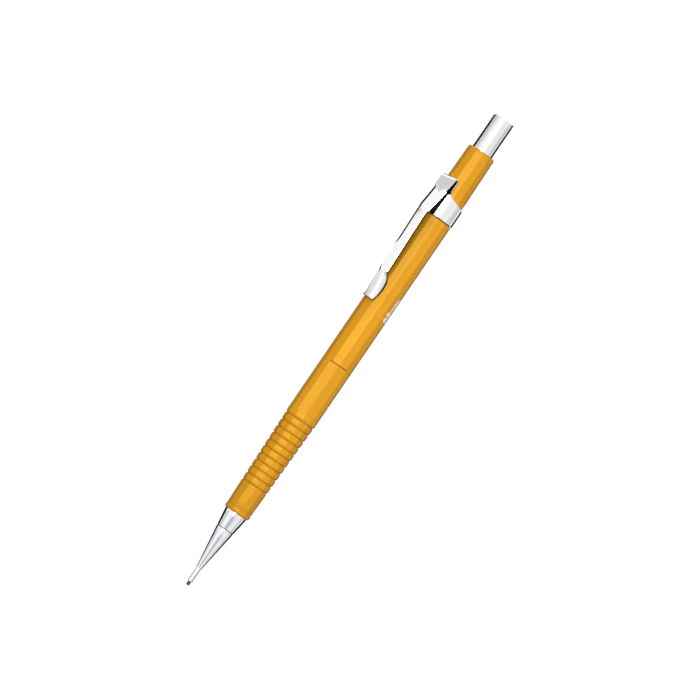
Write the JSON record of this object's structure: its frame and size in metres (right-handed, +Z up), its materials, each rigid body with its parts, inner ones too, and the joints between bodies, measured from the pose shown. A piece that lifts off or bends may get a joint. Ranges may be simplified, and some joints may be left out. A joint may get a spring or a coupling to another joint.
{
  "type": "mechanical pencil",
  "caption": "Mechanical pencil with a faceted ribbed amber barrel, chromed cone tip, folded pocket clip and a push cap that works an inner lead chuck.",
  "frame": {"origin": "centre of the bounding box, on the surface that the pencil rests on", "axes": "+X along the pencil from the point to the cap, +Z up through the clip, +Y across"},
  "size_m": [0.144, 0.0088, 0.0119],
  "materials": {
    "amber_plastic": "satin moulded plastic",
    "clip_chrome": "bright plated",
    "cone_chrome": "bright plated",
    "cap_satin": "satin",
    "sleeve_steel": "satin",
    "spring_steel": "drawn wire",
    "chuck_brass": "turned",
    "inner_plastic": "moulded",
    "reservoir_plastic": "extruded",
    "retainer_rubber": "soft",
    "graphite": "graphite",
    "eraser_rubber": "matt white",
    "ferrule_metal": "drawn"
  },
  "bodies": {
    "barrel": {"barrel": "amber_plastic", "clip_band": "clip_chrome", "clutch_sleeve": "inner_plastic", "return_spring": "spring_steel"},
    "tip": {"tip_cone": "cone_chrome", "lead_sleeve": "sleeve_steel", "lead_retainer": "retainer_rubber"},
    "plunger": {"chuck_stem": "chuck_brass", "chuck_connector": "inner_plastic", "lead_reservoir": "reservoir_plastic", "spare_lead_1": "graphite", "spare_lead_2": "graphite"},
    "jaw_1": {"chuck_jaw_1": "chuck_brass"},
    "jaw_2": {"chuck_jaw_2": "chuck_brass"},
    "jaw_3": {"chuck_jaw_3": "chuck_brass"},
    "ring": {"clutch_ring": "chuck_brass"},
    "lead": {"writing_lead": "graphite"},
    "clip_arm": {"clip_arm": "clip_chrome"},
    "cap": {"push_cap": "cap_satin"},
    "eraser": {"eraser": "eraser_rubber", "eraser_ferrule": "ferrule_metal"}
  },
  "joints": [
    {"name": "push_button", "type": "slide", "parent": "barrel", "child": "plunger", "axis": [-1, 0, 0], "range_m": [0, 0.0024], "stiffness_N_per_m": 1500, "springref_m": -0.002, "deforming": ["return_spring"]},
    {"name": "ring_slide", "type": "slide", "parent": "barrel", "child": "ring", "axis": [-1, 0, 0], "range_m": [0, 0.0009]},
    {"name": "lead_feed", "type": "slide", "parent": "barrel", "child": "lead", "axis": [-1, 0, 0], "range_m": [0, 0.0009]},
    {"name": "jaw_1_open", "type": "hinge", "parent": "plunger", "child": "jaw_1", "pos_m": [-0.0438, -0.00041, 0.00489], "axis": [0, 0.866, 0.5], "range_deg": [0, 1.6]},
    {"name": "jaw_2_open", "type": "hinge", "parent": "plunger", "child": "jaw_2", "pos_m": [-0.0438, -0.00041, 0.00346], "axis": [0, -0.866, 0.5], "range_deg": [0, 1.6]},
    {"name": "jaw_3_open", "type": "hinge", "parent": "plunger", "child": "jaw_3", "pos_m": [-0.0438, 0.00082, 0.00417], "axis": [0, 0, -1], "range_deg": [0, 1.6]},
    {"name": "clip_flex", "type": "hinge", "parent": "barrel", "child": "clip_arm", "pos_m": [0.05141, 0, 0.00893], "axis": [0, 1, 0], "range_deg": [0, 5], "stiffness_Nm_per_rad": 4},
    {"name": "cap_pull", "type": "slide", "parent": "plunger", "child": "cap", "axis": [1, 0, 0], "range_m": [0, 0.022]},
    {"name": "eraser_pull", "type": "slide", "parent": "plunger", "child": "eraser", "axis": [1, 0, 0], "range_m": [0, 0.008]},
    {"name": "tip_unscrew", "type": "slide", "parent": "barrel", "child": "tip", "axis": [-1, 0, 0], "range_m": [0, 0.031]}
  ],
  "couplings": [
    {"joint": "ring_slide", "follows": "push_button", "ratio": 0.375},
    {"joint": "lead_feed", "follows": "push_button", "ratio": 0.375},
    {"joint": "jaw_1_open", "follows": "push_button", "rad_per_m": 11.635},
    {"joint": "jaw_2_open", "follows": "push_button", "rad_per_m": 11.635},
    {"joint": "jaw_3_open", "follows": "push_button", "rad_per_m": 11.635},
    {"joint": "eraser_pull", "follows": "cap_pull", "ratio": 0.3636}
  ]
}
